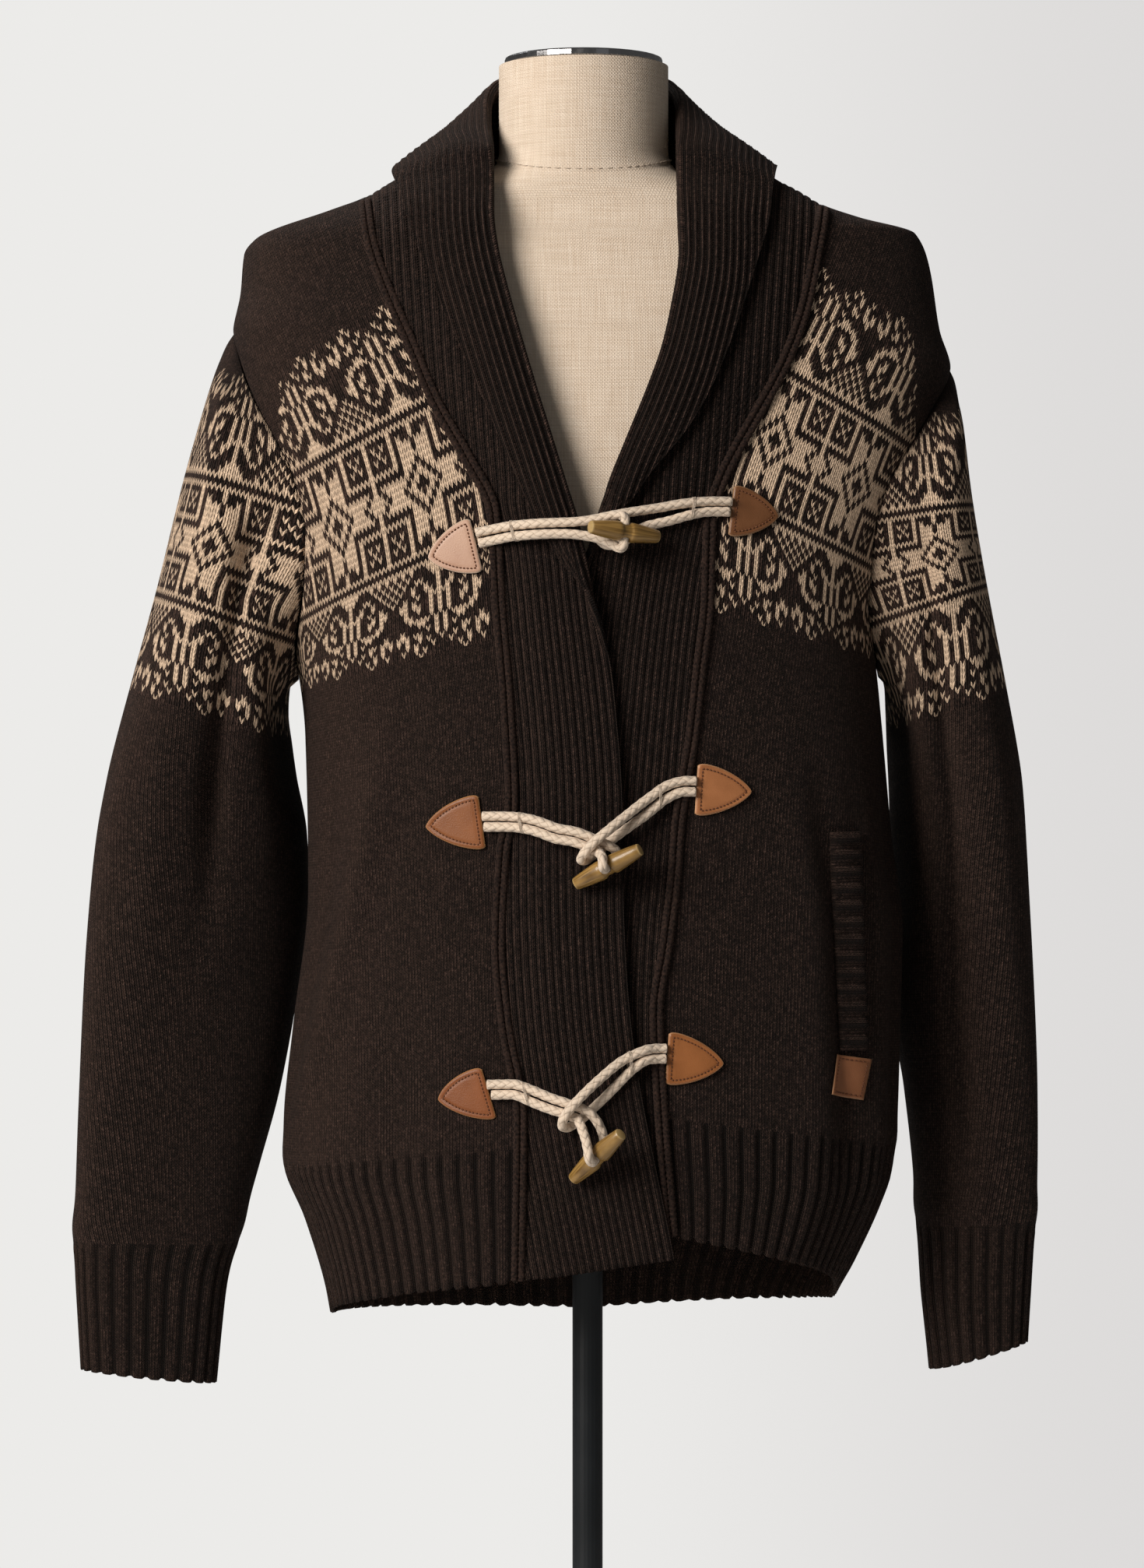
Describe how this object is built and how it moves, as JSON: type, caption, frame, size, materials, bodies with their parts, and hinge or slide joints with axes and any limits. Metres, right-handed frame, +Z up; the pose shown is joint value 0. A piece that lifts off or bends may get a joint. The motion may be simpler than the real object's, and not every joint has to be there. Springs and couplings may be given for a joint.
{
  "type": "cardigan on a dress form",
  "caption": "Knitted shawl-collared cardigan with cord and toggle closures, worn by a limbless dress form on a pole with a round base.",
  "frame": {"origin": "on the floor, under the middle of the stand's pole", "axes": "+Z up; -Y is the way the cardigan faces; +X is its wearer's left"},
  "size_m": [0.6075, 0.34, 1.3767],
  "materials": {
    "knit": "heathered dark brown wool knit with a beige stranded band",
    "rib": "heathered dark brown wool rib",
    "leather": "stitched tan leather",
    "toggle": "polished horn look",
    "cord": "cream braided cotton",
    "linen": "woven linen cover",
    "cap": "dark disc with a bright rim",
    "black_paint": "satin black"
  },
  "bodies": {
    "root": {"back_hem": "knit", "back": "knit", "back_yoke": "knit", "front_right": "knit", "front_left": "knit", "sleeve_right": "knit", "forearm_right": "knit", "cuff_right": "knit", "sleeve_left": "knit", "forearm_left": "knit", "cuff_left": "knit", "collar_right": "rib", "collar_left": "rib", "pocket_welt_left": "rib", "patch_left": "leather", "tab_top_right": "leather", "tab_top_left": "leather", "tab_middle_right": "leather", "tab_middle_left": "leather", "tab_bottom_right": "leather", "tab_bottom_left": "leather", "toggle_top": "toggle", "toggle_middle": "toggle", "toggle_bottom": "toggle", "toggle_cord_top": "cord", "toggle_cord_middle": "cord", "toggle_cord_bottom": "cord", "loop_cord_top": "cord", "loop_cord_middle": "cord", "loop_cord_bottom": "cord", "form_torso": "linen", "neck_cap": "cap", "pole": "black_paint", "base": "black_paint"}
  },
  "joints": []
}
